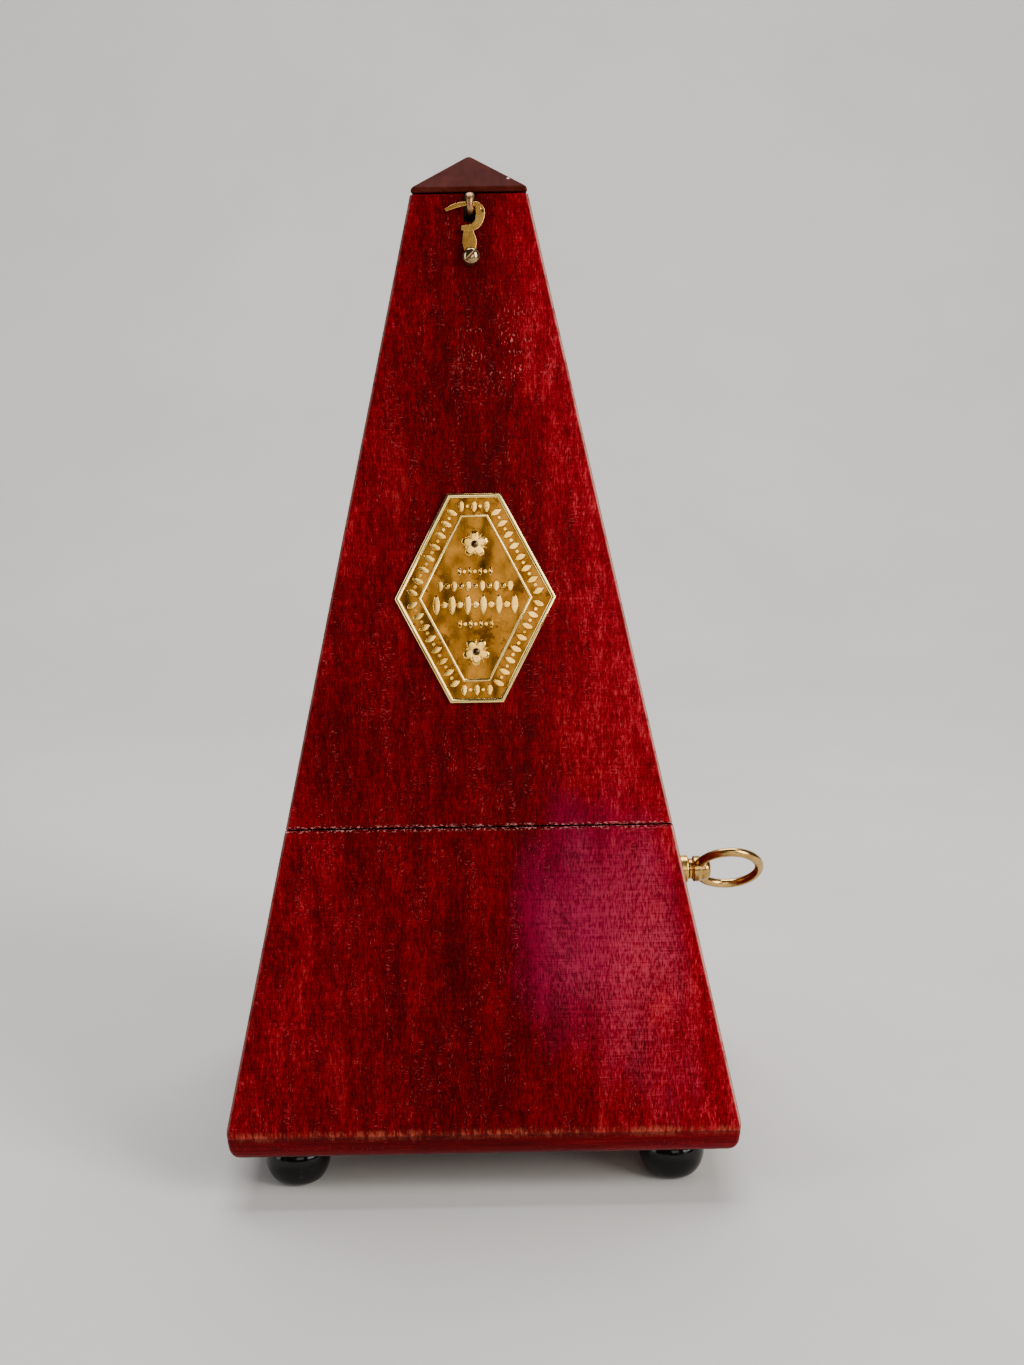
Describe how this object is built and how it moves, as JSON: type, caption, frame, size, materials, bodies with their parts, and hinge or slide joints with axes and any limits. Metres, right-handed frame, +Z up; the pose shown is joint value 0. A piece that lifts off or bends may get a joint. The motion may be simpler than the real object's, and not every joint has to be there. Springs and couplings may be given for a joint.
{
  "type": "metronome",
  "caption": "Pyramid metronome: wooden case with a lift-off front door, latch and winding key, and a clockwork movement swinging an inverted pendulum with a sliding weight.",
  "frame": {"origin": "on the table, midway between the four feet, under the centre of the case", "axes": "+Z up, -Y towards the front with the name plate, +X towards the winding key"},
  "size_m": [0.1253, 0.115, 0.23],
  "materials": {
    "mahogany": "dark crimson mahogany under worn French polish",
    "cap_wood": "dark brown wood, matt",
    "ebonised_wood": "gloss black",
    "inner_wood": "plain sawn beech, stained",
    "scale_paint": "cream lacquer with dark graduations",
    "bright_brass": "polished, worn",
    "aged_brass": "bronze-brown patina",
    "movement_brass": "brushed clock brass",
    "steel": "drawn and polished",
    "lead_bob": "dull grey casting"
  },
  "bodies": {
    "case": {"base_board": "mahogany", "foot_front_left": "ebonised_wood", "foot_front_right": "ebonised_wood", "foot_rear_left": "ebonised_wood", "foot_rear_right": "ebonised_wood", "front_lower_panel": "mahogany", "side_panel_left": "mahogany", "side_panel_right": "mahogany", "back_panel": "mahogany", "top_block": "inner_wood", "cap": "cap_wood", "front_board": "inner_wood", "scale_plate": "scale_paint", "latch_eye": "aged_brass", "rod_rest": "bright_brass", "key_bushing": "bright_brass", "movement_plate_left": "movement_brass", "movement_plate_right": "movement_brass", "pillar_1": "movement_brass", "pillar_2": "movement_brass", "pillar_3": "movement_brass", "pillar_4": "movement_brass", "movement_bearer_left": "inner_wood", "movement_bearer_right": "inner_wood", "verge_bridge": "movement_brass", "verge_cock": "movement_brass", "escape_potence": "movement_brass", "click_screw": "steel", "click_spring": "steel"},
    "door": {"door_panel": "mahogany", "door_tongue_left": "inner_wood", "door_tongue_right": "inner_wood", "name_plate": "bright_brass", "plate_pin_top": "aged_brass", "plate_pin_bottom": "aged_brass", "latch_screw": "steel"},
    "latch": {"latch_hook": "bright_brass"},
    "winding": {"winding_arbor": "steel", "ratchet_wheel": "steel", "winding_key": "aged_brass"},
    "barrel": {"spring_barrel": "movement_brass", "barrel_cover": "movement_brass", "mainspring": "steel"},
    "second": {"second_arbor": "steel", "second_wheel": "movement_brass"},
    "escape": {"escape_arbor": "steel", "crown_wheel": "movement_brass"},
    "pendulum": {"verge_arbor": "steel", "pendulum_rod": "steel", "counterweight_bob": "lead_bob"},
    "weight": {"tempo_weight": "bright_brass"},
    "click": {"click": "steel"}
  },
  "joints": [
    {"name": "door_tilt", "type": "hinge", "parent": "case", "child": "door", "pos_m": [0, -0.0431, 0.0825], "axis": [1, 0, 0], "range_deg": [0, 75]},
    {"name": "latch_turn", "type": "hinge", "parent": "door", "child": "latch", "pos_m": [0.00028, -0.01632, 0.20695], "axis": [0, -0.9776, 0.2104], "range_deg": [-75, 0]},
    {"name": "key_wind", "type": "hinge", "parent": "case", "child": "winding", "pos_m": [0, -0.01, 0.0627], "axis": [1, 0, 0], "range_deg": [-1710, 0]},
    {"name": "great_wheel_turn", "type": "hinge", "parent": "case", "child": "barrel", "pos_m": [0, -0.01, 0.0627], "axis": [1, 0, 0], "continuous": true},
    {"name": "second_wheel_turn", "type": "hinge", "parent": "case", "child": "second", "pos_m": [0, -0.02512, 0.05078], "axis": [1, 0, 0], "continuous": true},
    {"name": "crown_wheel_turn", "type": "hinge", "parent": "case", "child": "escape", "pos_m": [0, -0.02418, 0.06575], "axis": [1, 0, 0], "continuous": true},
    {"name": "pendulum_swing", "type": "hinge", "parent": "case", "child": "pendulum", "pos_m": [0, -0.04571, 0.07039], "axis": [0, -0.9776, 0.2104], "range_deg": [-22, 22]},
    {"name": "tempo_slide", "type": "slide", "parent": "pendulum", "child": "weight", "axis": [0, 0.2104, 0.9776], "range_m": [0, 0.105]},
    {"name": "click_lift", "type": "hinge", "parent": "case", "child": "click", "pos_m": [0.03275, 0, 0.0532], "axis": [1, 0, 0], "range_deg": [0, 14], "stiffness_Nm_per_rad": 0.002, "springref_deg": -11.46}
  ],
  "couplings": [
    {"joint": "second_wheel_turn", "follows": "great_wheel_turn", "ratio": -6},
    {"joint": "crown_wheel_turn", "follows": "great_wheel_turn", "ratio": 30}
  ]
}
